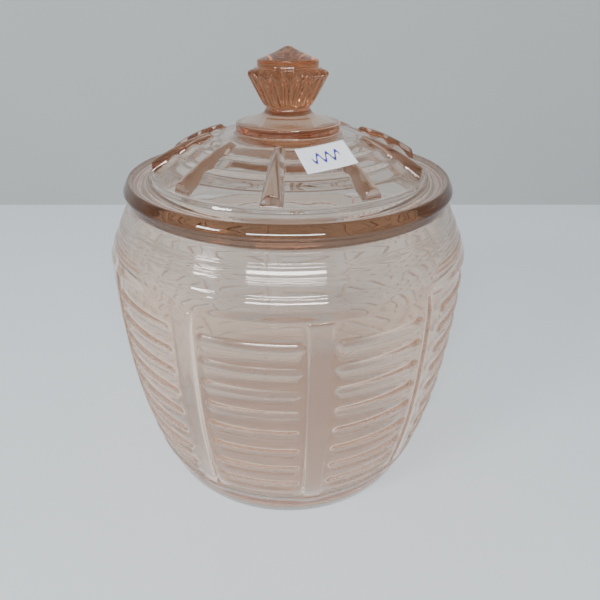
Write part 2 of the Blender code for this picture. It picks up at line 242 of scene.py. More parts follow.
def jar_relief(height, radius, angle):
    """Height of the pattern above the valleys, for points at an angle from a bar's middle."""
    across = np.abs(angle) * radius
    panel_half = radius * SECTOR / 2 - bar_half(height)
    from_middle = radius * SECTOR / 2 - across
    bar = ease((bar_half(height) - across) / BAR_EDGE)
    bar = bar * ease((height - RING_HEIGHT) / BAR_EDGE) * ease((BELT_HEIGHT - height) / BAR_EDGE)
    straight = panel_half - RIB_END_GAP - RIB_HALF
    beyond = np.maximum(from_middle - straight, 0)
    ribs = np.zeros_like(across)
    for rib in rib_heights():
        ribs = np.maximum(ribs, np.sqrt(roll(np.hypot(beyond, height - rib), RIB_HALF)))
    dip = RING_DIP * np.exp(-(across / DIP_WIDTH) ** 2)
    ring = roll(height - RING_HEIGHT + dip, RIB_HALF)
    belt = ease((height - BELT_HEIGHT + BELT_STEP) / BELT_EDGE)
    rolls = np.maximum(ribs, ring) * RIB_HEIGHT
    return np.maximum(np.maximum(rolls, belt * RELIEF), bar * BAR_HEIGHT)


print("deepest relief", RELIEF / MM, "mm")

# %% Soft rings round the shoulder
SHOULDER_RINGS = [BELT_HEIGHT + rise * MM for rise in (5.3, 6.7, 11.3, 12.6, 15.6, 17.2)]
SHOULDER_RING_HALF = 1.0 * MM
SHOULDER_HOLLOW = 0.15 * MM
SHOULDER_FADE = 3 * MM


def shoulder_hollow(height):
    """How far the shoulder lies inside its envelope between its soft rings."""
    ridge = max(float(roll(height - ring, SHOULDER_RING_HALF)) for ring in SHOULDER_RINGS)
    ends = ease((height - BELT_HEIGHT) / SHOULDER_FADE) * ease((JAR_HEIGHT - height) / SHOULDER_FADE)
    return SHOULDER_HOLLOW * (1 - ridge) * float(ends)


print("shoulder rings at", [round(ring / MM, 1) for ring in SHOULDER_RINGS], "mm")

# %% [markdown]
# ## The jar's section
# A pressed jar has two faces: the plunger leaves a plain inside and the mould leaves the patterned outside.
# The section is walked in one go, from the middle of the floor up the inside, over the lip and down the
# outside to the middle of the foot.  Turned about the axis, that gives a closed wall with a real thickness,
# which the light needs, because glass without an inner face would bend it like a solid block.

# %% Inside, lip and shoulder
FILLET = 7.0 * MM
LIP = WALL / 2
SHOULDER_LEVELS = 70


def inside_rows():
    """(radius, height, on the pattern) over the floor and up the inner wall."""
    rows = [(0.0, FLOOR, 0)]
    floor_radius = float(envelope(FLOOR)) - WALL - FILLET
    rows += [(floor_radius * share, FLOOR, 0) for share in (0.3, 0.6, 0.85, 1.0)]
    for turn in np.linspace(0, math.pi / 2, 6)[1:]:
        height = FLOOR + FILLET * (1 - math.cos(turn))
        rows.append((float(envelope(height)) - WALL - FILLET * (1 - math.sin(turn)), height, 0))
    for height in np.linspace(FLOOR + FILLET, JAR_HEIGHT - LIP, 18)[1:]:
        rows.append((float(envelope(height)) - WALL, height, 0))
    return rows


def lip_and_shoulder_rows():
    """Round lip, then down the shoulder to just over the belt."""
    rows = []
    for turn in np.linspace(0, math.pi, 9)[1:-1]:
        rows.append((NECK_RADIUS - LIP - LIP * math.cos(turn), JAR_HEIGHT - LIP + LIP * math.sin(turn), 0))
    for height in np.linspace(JAR_HEIGHT - LIP, BELT_HEIGHT + 0.4 * MM, SHOULDER_LEVELS):
        rows.append((float(envelope(height)) - shoulder_hollow(height), height, 0))
    return rows


print(len(inside_rows()), "inner rings,", len(lip_and_shoulder_rows()), "lip and shoulder rings")

# %% Patterned wall and foot
FOOT_ROUND = 1.2 * MM
FOOT_RING_WIDTH = 11.0 * MM
RECESS = 1.5 * MM


def pattern_rows():
    """Rings from the belt to the foot, close together over every rib; the relief gives their radius."""
    levels = [BELT_HEIGHT - drop * MM for drop in (0.0, 0.15, 0.35, 0.55, 0.75, 0.95, 1.15, 1.5, 2.2)]
    for rib in reversed([RING_HEIGHT] + rib_heights()):
        levels += [rib + RIB_HALF * share for share in (1.35, 1, 0.82, 0.64, 0.46, 0.3, 0.15, 0)]
        levels += [rib - RIB_HALF * share for share in (0.15, 0.3, 0.46, 0.64, 0.82, 1)]
    levels += [RING_HEIGHT - RIB_HALF * 1.5, 7 * MM, 4 * MM, 2 * MM]
    return [(0.0, height, 1) for height in levels]


def foot_rows():
    """Rounded foot, the flat ring that the jar stands on, and the shallow recess inside it."""
    foot = FOOT_RADIUS - RELIEF / 2
    rows = []
    for turn in np.linspace(0, math.pi / 2, 5)[1:]:
        rows.append((foot - FOOT_ROUND * (1 - math.cos(turn)), FOOT_ROUND * (1 - math.sin(turn)), 0))
    ring_inner = FOOT_RADIUS - FOOT_RING_WIDTH
    rows += [(ring_inner + 0.5 * MM, 0.0, 0), (ring_inner - 0.5 * MM, 0.4 * MM, 0)]
    rows += [(ring_inner - 1.5 * MM, 1.3 * MM, 0), (ring_inner - 3 * MM, RECESS, 0)]
    return rows + [(ring_inner * 0.5, RECESS, 0), (0.0, RECESS, 0)]


print(len(pattern_rows()), "patterned rings,", len(foot_rows()), "foot rings")

# %% The jar's skin
INSIDE_HAZE = 0.3
BAR_HAZE = 0.6
FOOT_HAZE = 0.8
FOOT_HAZE_TOP = 1.3 * MM
FOOT_BLEND = 10 * MM
CREST_TOP = BELT_HEIGHT - 1.2 * MM
CREST_START = 0.15 * MM
CREST_FADE = 0.35 * MM
CLEAR_LIP_ROWS = 3


def make_jar():
    """The jar's skin, with its crest mask for haze and painted highlight: full on the ribs, less on the
    bars, the foot and the inside.
    """
    places = sector_columns(
        (0.3, 0.6, 0.76, 0.82, 0.88, 0.94, 1.0),
        (0.04, 0.08, 0.12, 0.16, 0.2, 0.24, 0.28, 0.34, 0.42, 0.55, 0.7, 0.85, 1.0),
    )
    path = np.array(inside_rows() + lip_and_shoulder_rows() + pattern_rows() + foot_rows())
    base, height, patterned = path.T
    shell = envelope(height)
    angle = column_angles(places, bar_half(height) / shell)
    height, shell = height[:, None] + 0 * angle, shell[:, None] + 0 * angle
    valley = shell - RELIEF * (0.5 + 0.5 * ease(height / FOOT_BLEND))
    relief = jar_relief(height, shell, angle) * (patterned[:, None] > 0)
    radius = np.where(patterned[:, None] > 0, valley + relief, base[:, None])
    crest = np.where(height < CREST_TOP, ease((relief - CREST_START) / CREST_FADE), 0)
    crest *= np.where(np.abs(angle) * shell < bar_half(height), BAR_HAZE, 1.0)
    lip_row = int(np.argmax(path[:, 1]))
    crest[:lip_row - CLEAR_LIP_ROWS] = INSIDE_HAZE
    crest[path[:, 1] < FOOT_HAZE_TOP] = FOOT_HAZE
    turns = BAR_START + SECTOR * np.arange(BARS)
    angles = np.concatenate([angle + turn for turn in turns], 1)
    jar = skin("jar_glass", np.tile(radius, BARS), np.tile(height, BARS), angles, np.tile(crest, BARS))
    face_outwards(jar)
    return jar


jar = make_jar()
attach(jar, "jar")
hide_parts("jar")

# %% [markdown]
# ## The lid
# The lid was pressed in a mould of its own, with its knob, and it is solid in the knob.  Its section is
# again one curve, from the tip of the knob down over disc, dome, channel and rim, and back underneath.
# The bars and low rings on the dome are a height map in polar form: height against radius and angle.

# %% Sizes of the lid
SEAT = JAR_HEIGHT + 0.3 * MM
RIM_RADIUS = lid_high.x
RIM_TOP = SEAT + 8.5 * MM
FLANGE_WIDTH = 10.6 * MM
DOME_EDGE = RIM_RADIUS - FLANGE_WIDTH
DISC_RADIUS = 20.9 * MM
DOME_TOP = RIM_TOP + 14.9 * MM
DOME_FALL = 14.1 * MM
DOME_POWER = 1.7
LID_WALL = 4.6 * MM
LID_BAR_START = math.radians(-5.5)
LID_BAR_INNER = DISC_RADIUS + 8.6 * MM
LID_BAR_OUTER = DOME_EDGE - 1.7 * MM
LID_BAR_HALF = 2.3 * MM
LID_BAR_WIDENING = 1.7 * MM
LID_BAR_TIP = 2.2 * MM
LID_BAR_STOP = 0.25 * MM
LID_BAR_ROUND = 0.65
WIDENING_LIMITS = (-0.3, 1.2)
LOW_RINGS = [radius * MM for radius in (31.5, 39.0, 46.5)]
LOW_RING_HALF = 3.75 * MM
LOW_RING_END = 0.5 * MM
LOW_RING_HEIGHTS = [height * MM for height in (0.8, 1.0, 1.2)]


def dome(radius):
    """Height of the plain dome; it is flat under the knob's disc."""
    spread = np.maximum(0.0, np.asarray(radius, float) - DISC_RADIUS) / (DOME_EDGE - DISC_RADIUS)
    return DOME_TOP - DOME_FALL * spread ** DOME_POWER


def lid_bar_half(radius):
    """Half width, and height, of a lid bar: it widens towards the rim."""
    share = (np.asarray(radius, float) - LID_BAR_INNER) / (DOME_EDGE - LID_BAR_INNER)
    return LID_BAR_HALF + LID_BAR_WIDENING * np.clip(share, *WIDENING_LIMITS)


def dome_relief(radius, angle):
    """Half-round bars with upright outer ends, and low rings that run from bar to bar."""
    across = np.abs(angle) * radius
    half = lid_bar_half(radius)
    start = np.sqrt(ease((radius - LID_BAR_INNER) / LID_BAR_TIP))
    stop = ease((LID_BAR_OUTER - radius) / LID_BAR_STOP + 1)
    bar = half * np.clip(1 - (across / half) ** 2, 0, 1) ** LID_BAR_ROUND * start * stop
    straight = radius * SECTOR / 2 - half - LOW_RING_END
    beyond = np.maximum(radius * SECTOR / 2 - across - np.maximum(straight, 0), 0)
    rings = np.zeros_like(across)
    for ring, ring_height in zip(LOW_RINGS, LOW_RING_HEIGHTS):
        rings = np.maximum(rings, ring_height * roll(np.hypot(beyond, radius - ring), LOW_RING_HALF))
    return np.maximum(bar, rings)


print("dome edge", round(DOME_EDGE / MM, 1), "mm, dome top", round(DOME_TOP / MM, 1), "mm")

# %% [markdown]
# ## The lid's section
# A mould maker draws half of the lid and turns it.  Here each stretch is a short list of points, in
# millimetres from the axis and above the seat, from the tip of the knob outwards.  Corners get points close
# together, because smooth shading across one sharp step would look like a dent.  Long soft stretches need
# very few.

# %% Knob, disc and cup
CUP_TOP = 45.7


def above_seat(rows, kind):
    """Rows in metres, lifted to the seat and marked as plain (0), dome (1) or fluted cup (2)."""
    return [(radius * MM, SEAT + height * MM, kind) for radius, height in rows]


def knob_rows():
    """Tip, cap and collar; the stem under the fluted cup; and the disc."""
    cap = [(0.0, 53.5), (0.7, 53.45), (1.4, 53.2), (2.2, 52.8), (4.0, 52.0), (6.5, 51.0), (9.0, 50.0)]
    cap += [(11.2, 49.25), (11.65, 49.0), (11.8, 48.7), (11.8, 47.6), (11.75, 46.75), (11.9, 46.55)]
    cap += [(12.3, 46.5), (12.8, 46.4), (13.1, 46.15), (13.2, 45.9)]
    stem = [(9.0, 33.1), (8.7, 32.9), (8.7, 32.5), (8.9, 31.9), (9.3, 31.2), (10.0, 30.5), (11.2, 29.8)]
    disc = [(13.0, 29.2), (15.2, 28.6), (17.5, 28.1), (19.6, 27.65), (20.4, 27.35), (20.8, 26.9)]
    disc += [(20.9, 26.3), (20.9, 25.2), (20.9, 24.4), (21.0, 23.9), (21.3, 23.55), (21.9, 23.4)]
    return cap, stem, disc


def cup_rows():
    """Heights down the fluted cup, close together under its arched top."""
    top = [CUP_TOP - drop for drop in (0, 0.2, 0.4, 0.6, 0.85, 1.1, 1.4, 1.75, 2.1, 2.6, 3.2)]
    return top + [41.2, 40.2, 39.0, 37.8, 36.6, 35.4, 34.4, 33.7, 33.3]


cap, stem, disc = knob_rows()
print(len(cap), "rings in the cap,", len(cup_rows()), "in the cup,", len(stem + disc), "below it")

# %% Rim and underside
RING_TOP = -1.4


def rim_rows():
    """Rounded edge of the dome, the channel, the rolled rim and the narrower band below it."""
    edge = [(55.4, 10.15), (55.8, 9.95), (56.15, 9.5), (56.4, 9.0), (56.65, 8.5), (56.95, 8.05)]
    edge += [(57.5, 7.7), (58.2, 7.55)]
    channel = [(59.1, 7.4), (59.6, 7.36), (60.1, 7.4), (60.6, 7.33), (61.1, 7.38), (61.6, 7.34)]
    channel += [(62.2, 7.42), (62.8, 7.55), (63.4, 7.8), (64.0, 8.15)]
    rolled = [(64.3, 8.4), (64.7, 8.5), (65.05, 8.3), (65.45, 7.75), (65.85, 7.15), (66.25, 6.55)]
    rolled += [(66.6, 5.97), (66.92, 5.3), (67.1, 4.6), (67.05, 3.95), (66.7, 3.45), (66.2, 3.25)]
    band = [(65.95, 3.0), (66.0, 2.7), (66.05, 2.3), (66.0, 1.7), (65.8, 1.1), (65.4, 0.6)]
    band += [(64.9, 0.2), (64.3, 0.02), (62.5, 0.0)]
    return edge + channel + rolled + band


def underside_rows():
    """Seat, locating ring and the hollow of the dome."""
    rows = [(60.0, 0.0), (59.5, -0.2), (59.35, -0.8), (59.2, -2.4), (58.9, -3.1), (58.2, -3.4)]
    rows += [(56.8, -3.4), (56.0, -3.1), (55.6, -2.4)]
    for radius in list(np.linspace(55.0, 4.0, 22)) + [0.0]:
        under = float(dome(radius * MM) - LID_WALL - SEAT) / MM
        rows.append((radius, max(under, RING_TOP)))
    return rows


print(len(rim_rows()), "rings in the rim,", len(underside_rows()), "underneath")

# %% [markdown]
# ## The fluted cup
# The knob's cup has twenty rounded flutes that meet in sharp valleys, like a bundle of pencils.  They could
# be cut one by one, but the absolute value of a cosine already has that shape: round on its crests and sharp
# where it meets zero.  At the top each flute is rounded over, so its edge makes a row of small arches.

# %% Flutes
FLUTES = 20
FLUTE_DEPTH = 1.1 * MM
FLUTE_FOOT_SHARE = 0.35
CUP_FOOT = SEAT + 33.2 * MM
CUP_RISE = 11.6 * MM
CUP_FOOT_RADIUS = 9.4 * MM
CUP_SPREAD = 6.6 * MM
CUP_POWER = 0.92
CUP_ARCH = 2.4 * MM
CUP_ROUND = 2.3 * MM
COLLAR_RADIUS = 13.2 * MM


def cup_radius(height, angle):
    """Radius of the fluted cup: rounded flutes with sharp valleys, arched over at their tops."""
    lobe = np.abs(np.cos(angle * FLUTES / 2))
    share = np.clip((height - CUP_FOOT) / CUP_RISE, 0, 1)
    crest = CUP_FOOT_RADIUS + CUP_SPREAD * share ** CUP_POWER
    valley = crest - FLUTE_DEPTH * (FLUTE_FOOT_SHARE + (1 - FLUTE_FOOT_SHARE) * share)
    outer = valley + (crest - valley) * lobe
    arch = SEAT + CUP_TOP * MM - CUP_ARCH * (1 - lobe)
    tuck = np.sqrt(1 - (1 - np.clip((arch - height) / CUP_ROUND, 0, 1)) ** 2)
    return COLLAR_RADIUS * (1 - tuck) + outer * tuck


print("cup", round((CUP_FOOT_RADIUS + CUP_SPREAD) / MM, 1), "mm in radius at its top")

# %% The lid's skin
DOME_START = 22.6 * MM
DOME_LEVELS = 50
EVEN_WITHIN = 12 * MM
EVEN_FADE = 8 * MM
LID_CREST_START = 1.6 * MM
LID_CREST_FADE = 1.5 * MM


def make_lid():
    """The lid's skin: columns are even round the knob and gather along the bars further out."""
    places = sector_columns(
        (0.22, 0.42, 0.6, 0.74, 0.85, 0.93, 0.98, 1.0),
        (0.03, 0.07, 0.12, 0.18, 0.25, 0.33, 0.42, 0.52, 0.63, 0.75, 0.88, 1.0),
    )
    cap, stem, disc = knob_rows()
    rows = above_seat(cap, 0)
    rows += above_seat([(0.0, height) for height in cup_rows()], 2)
    rows += above_seat(stem + disc, 0)
    spread = list(np.linspace(DOME_START, LID_BAR_OUTER - 1.0 * MM, DOME_LEVELS))
    spread += [LID_BAR_OUTER + offset * MM for offset in (-0.6, -0.3, -0.1, 0.0, 0.08, 0.16, 0.25, 0.4)]
    rows += [(radius, 0.0, 1) for radius in spread]
    rows += above_seat(rim_rows(), 0) + above_seat(underside_rows(), 0)
    base, level, kind = (column[:, None] for column in np.array(rows).T)
    bar_angle = lid_bar_half(base) / np.maximum(base, LID_BAR_INNER)
    clustered = column_angles(places, bar_angle[:, 0])
    even = np.linspace(-SECTOR / 2, SECTOR / 2, len(places) + 1)[:-1][None, :]
    nearness = ease((base - EVEN_WITHIN) / EVEN_FADE) * (kind != 2)
    angle = even * (1 - nearness) + clustered * nearness
    radius, height = base + 0 * angle, level + 0 * angle
    relief = dome_relief(radius, angle) * (kind == 1)
    height = np.where(kind == 1, dome(base) + relief, height)
    radius = np.where(kind == 2, cup_radius(level, angle), radius)
    turns = LID_BAR_START + SECTOR * np.arange(BARS)
    angles = np.concatenate([angle + turn for turn in turns], 1)
    crest = ease((relief - LID_CREST_START) / LID_CREST_FADE)
    lid = skin("lid_glass", np.tile(radius, BARS), np.tile(height, BARS), angles, np.tile(crest, BARS))
    face_outwards(lid)
    return lid


lid = make_lid()
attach(lid, "lid")
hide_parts("lid")

# %% [markdown]
# ## The price label
# A cut piece of paper is stuck on one bar and leans down onto the low rings.  Stiff paper that is held at
# one side curls a little at its free corners, so the sheet is a fine grid bent in two directions, with a
# real thickness.  It carries only a wavy pen stroke.

# %% Place of the label
LABEL_WIDTH = 18.0 * MM
LABEL_LENGTH = 13.4 * MM
LABEL_THICKNESS = 0.2 * MM
LABEL_RADIUS = LID_BAR_INNER + 9.3 * MM
LABEL_LEAN = 15.0 * MM
LABEL_OVERHANG = 3.0 * MM
LABEL_TWIST = math.radians(-2.0)
CREST_GAP = 0.3 * MM
LOW_SIDE_RISE = 1.2 * MM
SHEET_LIFT = 0.125 * MM


def outwards(angle):
    """Level unit vector from the axis at an angle round from the front."""
    return Vector((math.sin(angle), -math.cos(angle), 0.0))


def label_frame():
    """Axes and middle of the label, from the crest of its bar down to the dome."""
    bar_angle = LID_BAR_START + SECTOR
    crest_height = float(dome(LABEL_RADIUS) + lid_bar_half(LABEL_RADIUS)) + CREST_GAP
    crest = outwards(bar_angle) * LABEL_RADIUS + Vector((0, 0, crest_height))
    low_angle = bar_angle - LABEL_LEAN / LABEL_RADIUS
    low_height = float(dome(LABEL_RADIUS)) + LOW_SIDE_RISE
    low = outwards(low_angle) * LABEL_RADIUS + Vector((0, 0, low_height))
    across = (crest - low).normalized()
    fall = float(dome(LABEL_RADIUS + MM) - dome(LABEL_RADIUS - MM)) / (2 * MM)
    slope = (outwards((bar_angle + low_angle) / 2) + Vector((0, 0, fall))).normalized()
    normal = slope.cross(across).normalized()
    normal = -normal if normal.z < 0 else normal
    up_slope = normal.cross(across)
    middle = crest + across * (LABEL_OVERHANG - LABEL_WIDTH / 2) + normal * SHEET_LIFT
    lying = Matrix.Translation(middle) @ Matrix((across, up_slope, normal)).transposed().to_4x4()
    return Matrix.Rotation(LABEL_TWIST, 4, "Z") @ lying


print("label at", [round(value / MM, 1) for value in label_frame().translation])

# %% The bent sheet
SHEET_STEPS = (36, 26)
SHEET_BOW = 0.25 * MM
CORNER_CURL = 0.3 * MM


def make_label():
    """Thin grid bowed along its length, with one corner curling up a little more."""
    work = bmesh.new()
    bmesh.ops.create_grid(work, x_segments=SHEET_STEPS[0], y_segments=SHEET_STEPS[1], size=0.5)
    for vert in work.verts:
        x, y = vert.co.x, vert.co.y
        curl = SHEET_BOW * (2 * x) ** 2 + CORNER_CURL * max(0, -2 * x) ** 2 * max(0, 2 * y)
        vert.co = (x * LABEL_WIDTH, y * LABEL_LENGTH, curl)
    mesh = bpy.data.meshes.new("label_paper")
    work.to_mesh(mesh)
    work.free()
    label = bpy.data.objects.new("label_paper", mesh)
    bpy.context.scene.collection.objects.link(label)
    label.matrix_world = label_frame()
    thick = label.modifiers.new("thickness", "SOLIDIFY")
    thick.thickness = LABEL_THICKNESS
    thick.offset = 0.0
    mesh.shade_smooth()
    print(label.name, LABEL_WIDTH / MM, "x", LABEL_LENGTH / MM, "mm")
    return label


label = make_label()
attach(label, "lid")
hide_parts("price_label")

# %% [markdown]
# ## The skin that a mould leaves
# An iron mould is never quite smooth, and hot glass chills against it in soft waves with a fine grain.
# Both glasses share that, so it is one node group with its own inputs, placed in each material with its own
# values.  It gives out a height for the bump and a patchy mask for faint haze.

# %% A group for the mould's skin
GRAIN_SCALE = 900.0
HAZE_SCALE = 60.0
HAZE_FROM = 0.45
HAZE_TO = 0.75


def link(tree, source, target):
    tree.links.new(source, target)


def mould_skin_group():
    """Height of the soft waves and fine grain that an iron mould leaves, and a faint haze mask."""
    group = bpy.data.node_groups.new("mould_skin", "ShaderNodeTree")
    group.interface.new_socket("Wave Size", in_out="INPUT", socket_type="NodeSocketFloat")
    group.interface.new_socket("Grain", in_out="INPUT", socket_type="NodeSocketFloat")
    group.interface.new_socket("Height", in_out="OUTPUT", socket_type="NodeSocketFloat")
    group.interface.new_socket("Haze", in_out="OUTPUT", socket_type="NodeSocketFloat")
    nodes = group.nodes
    inputs, outputs = nodes.new("NodeGroupInput"), nodes.new("NodeGroupOutput")
    place = nodes.new("ShaderNodeTexCoord")
    waves = nodes.new("ShaderNodeTexNoise")
    waves.inputs["Detail"].default_value = 1.0
    link(group, place.outputs["Object"], waves.inputs["Vector"])
    link(group, inputs.outputs["Wave Size"], waves.inputs["Scale"])
    grain = nodes.new("ShaderNodeTexNoise")
    grain.inputs["Scale"].default_value = GRAIN_SCALE
    grain.inputs["Detail"].default_value = 2.0
    link(group, place.outputs["Object"], grain.inputs["Vector"])
    fine = nodes.new("ShaderNodeMath")
    fine.operation = "MULTIPLY"
    link(group, grain.outputs["Fac"], fine.inputs[0])
    link(group, inputs.outputs["Grain"], fine.inputs[1])
    total = nodes.new("ShaderNodeMath")
    total.operation = "ADD"
    link(group, waves.outputs["Fac"], total.inputs[0])
    link(group, fine.outputs[0], total.inputs[1])
    link(group, total.outputs[0], outputs.inputs["Height"])
    haze = nodes.new("ShaderNodeTexNoise")
    haze.inputs["Scale"].default_value = HAZE_SCALE
    haze.inputs["Detail"].default_value = 3.0
    link(group, place.outputs["Object"], haze.inputs["Vector"])
    patches = nodes.new("ShaderNodeMapRange")
    patches.inputs["From Min"].default_value = HAZE_FROM
    patches.inputs["From Max"].default_value = HAZE_TO
    link(group, haze.outputs["Fac"], patches.inputs["Value"])
    link(group, patches.outputs["Result"], outputs.inputs["Haze"])
    return group


MOULD_SKIN = mould_skin_group()
print("group", MOULD_SKIN.name, "with", len(MOULD_SKIN.nodes), "nodes")

# %% [markdown]
# ## Glass that takes its colour from depth
# A tinted surface would colour thin and thick glass alike.  Real pink glass is pale through the wall and
# brown along the rim, where the light runs a long way inside.  So a volume inside the closed skin absorbs a
# little more blue and green in every millimetre.  The surface adds a tint by place on top of that.  It is
# faint on the foot and the patterned wall, and strong on the rim and the knob, which look deeper in colour
# than the short light paths of a renderer make them.  The dark rim tint also paints in the shade of the dark
# room that the rim shows.

# %% Tint by place
LID_TINTS = [
    # Rim tint: partly the deep colour of thick glass, and partly painted shade for the dark room seen in the
    # rim.
    ((0.145, 0.064, 0.029), "out", 63.8 * MM, 65.0 * MM),
    ((0.45, 0.262, 0.152), "up", SEAT + 28.5 * MM, SEAT + 32.0 * MM),
]
JAR_TINTS = [
    ((1.0, 0.86, 0.75), "up", BELT_HEIGHT + 0.5 * MM, BELT_HEIGHT - 1.5 * MM),
    ((1.0, 0.85, 0.76), "up", 13.0 * MM, 9.0 * MM),
]


def zone_tint(tree, tints):
    """Colour of the surface by place: each tint is (colour, axis, from, to), in metres out or up."""
    nodes = tree.nodes
    place = nodes.new("ShaderNodeTexCoord")
    apart = nodes.new("ShaderNodeSeparateXYZ")
    link(tree, place.outputs["Object"], apart.inputs["Vector"])
    flat = nodes.new("ShaderNodeCombineXYZ")
    link(tree, apart.outputs["X"], flat.inputs["X"])
    link(tree, apart.outputs["Y"], flat.inputs["Y"])
    out = nodes.new("ShaderNodeVectorMath")
    out.operation = "LENGTH"
    link(tree, flat.outputs["Vector"], out.inputs[0])
    sources = {"out": out.outputs["Value"], "up": apart.outputs["Z"]}
    colour = None
    for tint, axis, start, end in tints:
        zone = nodes.new("ShaderNodeMapRange")
        zone.interpolation_type = "SMOOTHSTEP"
        zone.inputs["From Min"].default_value = start
        zone.inputs["From Max"].default_value = end
        link(tree, sources[axis], zone.inputs["Value"])
        mix = nodes.new("ShaderNodeMix")
        mix.data_type = "RGBA"
        mix.inputs["A"].default_value = (1, 1, 1, 1)
        mix.inputs["B"].default_value = (*tint, 1)
        link(tree, zone.outputs["Result"], mix.inputs["Factor"])
        if colour is not None:
            link(tree, colour, mix.inputs["A"])
        colour = mix.outputs["Result"]
    return colour


print(len(JAR_TINTS), "tint zones on the jar,", len(LID_TINTS), "on the lid")

# %% [markdown]
# ## Worn crests, their painted highlight, and trapped light
# Years of wiping leave the crests of the pattern a little hazy, so the crest mask of each skin raises the
# roughness there.  The same mask colours the crests: on the lid it tints the bars a deeper brown, and on the
# jar it keeps the ribs white, out of the pink tint, as a painted highlight for the light they catch.  Light
# that is caught between the two faces would bounce until the renderer gives up, and leave black lines.  In
# real glass small flaws let it leak out again.  So the roughness also rises for a ray that has already
# bounced more than once, and what is seen directly stays clear.

# %% Haze on the crests and scatter of trapped light
TRAPPED_SCATTER = 0.6
PATCHY_HAZE = 0.04
CLEAR_BOUNCES = 1.0
TRAPPED_BOUNCES = 2.0


def glass_roughness(tree, crest, patches, crest_haze):
    """Roughness from the crest mask, the patchy haze, and how often the light has bounced."""
    nodes = tree.nodes
    gloss = nodes.new("ShaderNodeMapRange")
    gloss.inputs["To Max"].default_value = PATCHY_HAZE
    link(tree, patches, gloss.inputs["Value"])
    rubbed = nodes.new("ShaderNodeMath")
    rubbed.operation = "MULTIPLY_ADD"
    rubbed.inputs[1].default_value = crest_haze
    link(tree, crest, rubbed.inputs[0])
    link(tree, gloss.outputs["Result"], rubbed.inputs[2])
    path = nodes.new("ShaderNodeLightPath")
    scatter = nodes.new("ShaderNodeMapRange")
    scatter.inputs["From Min"].default_value = CLEAR_BOUNCES
    scatter.inputs["From Max"].default_value = TRAPPED_BOUNCES
    scatter.inputs["To Max"].default_value = TRAPPED_SCATTER
    link(tree, path.outputs["Glossy Depth"], scatter.inputs["Value"])
    rough = nodes.new("ShaderNodeMath")
    rough.operation = "ADD"
    link(tree, rubbed.outputs[0], rough.inputs[0])
    link(tree, scatter.outputs["Result"], rough.inputs[1])
    return rough.outputs[0]


print("trapped light is scattered up to roughness", TRAPPED_SCATTER)

# %% Pressed glass
GLASS_IOR = 1.52
MOULD_GRAIN = 0.02


def pressed_glass(name, absorbed, density, wave_size, wave_depth, crest_haze, crest_tint_and_highlight, tints):
    """Surface with a mould's waves, over a volume that absorbs colour with depth."""
    material = bpy.data.materials.new(name)
    material.use_nodes = True
    tree = material.node_tree
    nodes = tree.nodes
    surface, output = nodes["Principled BSDF"], nodes["Material Output"]
    surface.inputs["Transmission Weight"].default_value = 1.0
    surface.inputs["IOR"].default_value = GLASS_IOR
    mould = nodes.new("ShaderNodeGroup")
    mould.node_tree = MOULD_SKIN
    mould.inputs["Wave Size"].default_value = wave_size
    mould.inputs["Grain"].default_value = MOULD_GRAIN
    bump = nodes.new("ShaderNodeBump")
    bump.inputs["Distance"].default_value = wave_depth
    link(tree, mould.outputs["Height"], bump.inputs["Height"])
    link(tree, bump.outputs["Normal"], surface.inputs["Normal"])
    haze_and_highlight_mask = nodes.new("ShaderNodeAttribute")
    haze_and_highlight_mask.attribute_name = "crest"
    roughness = glass_roughness(tree, haze_and_highlight_mask.outputs["Fac"], mould.outputs["Haze"], crest_haze)
    link(tree, roughness, surface.inputs["Roughness"])
    # The crest mask mixes the tint by place towards the crest colour: on the jar that is white, a painted
    # highlight on the ribs; on the lid it is a deeper brown.
    colour = nodes.new("ShaderNodeMix")
    colour.data_type = "RGBA"
    colour.inputs["B"].default_value = (*crest_tint_and_highlight, 1)
    link(tree, haze_and_highlight_mask.outputs["Fac"], colour.inputs["Factor"])
    link(tree, zone_tint(tree, tints), colour.inputs["A"])
    link(tree, colour.outputs["Result"], surface.inputs["Base Color"])
    depth = nodes.new("ShaderNodeVolumeAbsorption")
    depth.inputs["Color"].default_value = (*absorbed, 1.0)
    depth.inputs["Density"].default_value = density
    link(tree, depth.outputs["Volume"], output.inputs["Volume"])
    return material


print("glass bends light with an index of", GLASS_IOR)

# %% The two glasses
jar_glass = pressed_glass(
    "pale_pink_glass",
    absorbed=(0.97, 0.55, 0.25),
    density=28.0,
    wave_size=70.0,
    wave_depth=0.14 * MM,
    crest_haze=0.26,
    # White crests: a painted highlight on the ribs, which are kept out of the pink tint.
    crest_tint_and_highlight=(1, 1, 1),
    tints=JAR_TINTS,
)
lid_glass = pressed_glass(
    "peach_glass",
    absorbed=(0.88, 0.55, 0.32),
    density=34.0,
    wave_size=90.0,
    wave_depth=0.1 * MM,
    crest_haze=0.05,
    crest_tint_and_highlight=(0.66, 0.46, 0.34),
    tints=LID_TINTS,
)
jar.data.materials.append(jar_glass)
lid.data.materials.append(lid_glass)
print(jar.data.materials[0].name, lid.data.materials[0].name)

# %% [markdown]
# ## Paper and pen
# The label is plain white paper, marked by hand with a ballpoint.  A picture of handwriting would need an
# image file.  A sine wave drawn by the material is enough: ink goes where the height on the sheet is within
# half a stroke of the wave, and only across the middle of the sheet.

# %% The pen stroke
WAVES_PER_METRE = 1900.0
STROKE_SWING = 2.1 * MM
STROKE_SOFT = 1.1 * MM
STROKE_FULL = 0.7 * MM
STROKE_REACH = 5.0 * MM


